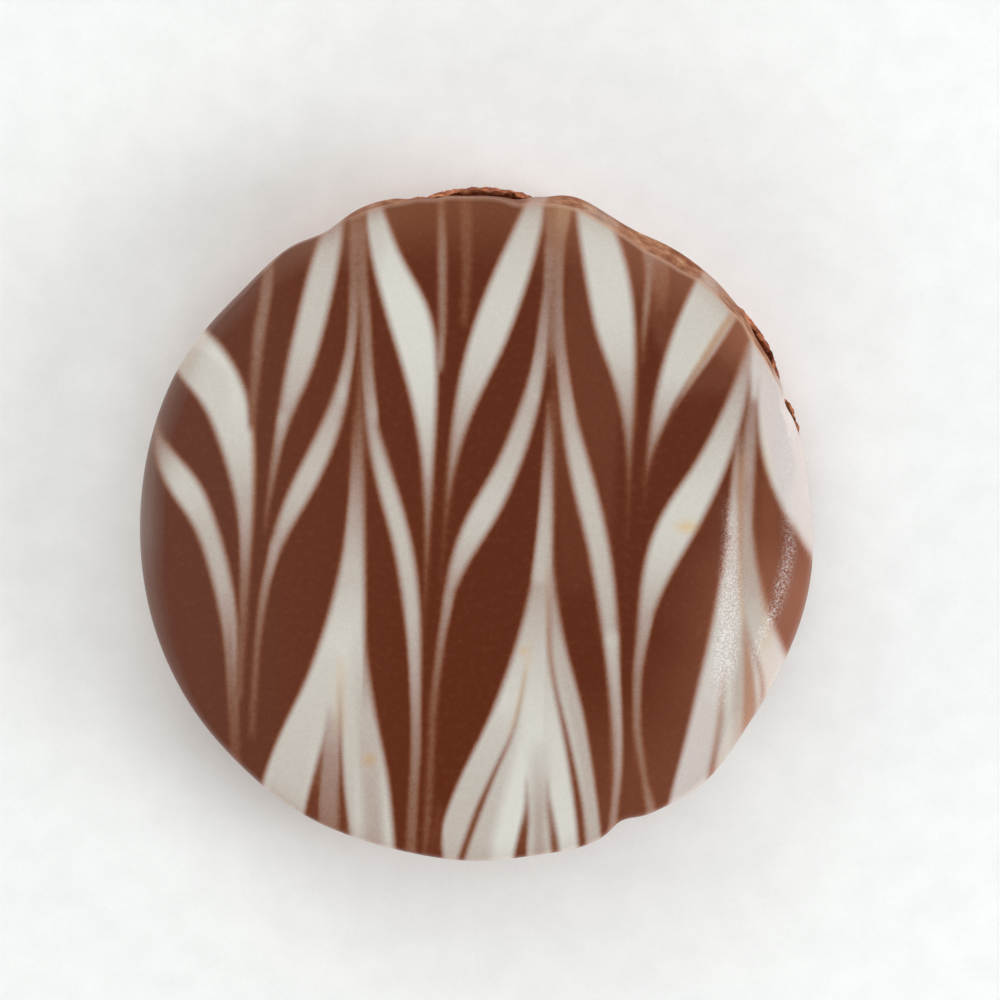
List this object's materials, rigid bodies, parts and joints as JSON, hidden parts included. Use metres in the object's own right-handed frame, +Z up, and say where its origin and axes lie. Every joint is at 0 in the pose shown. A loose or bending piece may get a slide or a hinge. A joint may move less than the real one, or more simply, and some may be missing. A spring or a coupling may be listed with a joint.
{
  "type": "chocolate covered sandwich cookie",
  "caption": "Round flat cookie under a smooth chocolate coat with white feather marbling, its crumbly side showing below the hem.",
  "frame": {"origin": "middle of the flat base, the middle of the box in X and Y", "axes": "+Z up through the flat top, +Y towards the back, where the crumbly side shows, +X to the right in the picture"},
  "size_m": [0.0526, 0.0527, 0.014],
  "materials": {
    "chocolate_coat": "satin milk chocolate with soft-edged white chocolate feathers",
    "cookie_crumb": "rough reddish-brown crumb"
  },
  "bodies": {
    "root": {"marbled_coat": "chocolate_coat", "cookie_body": "cookie_crumb"}
  },
  "joints": []
}
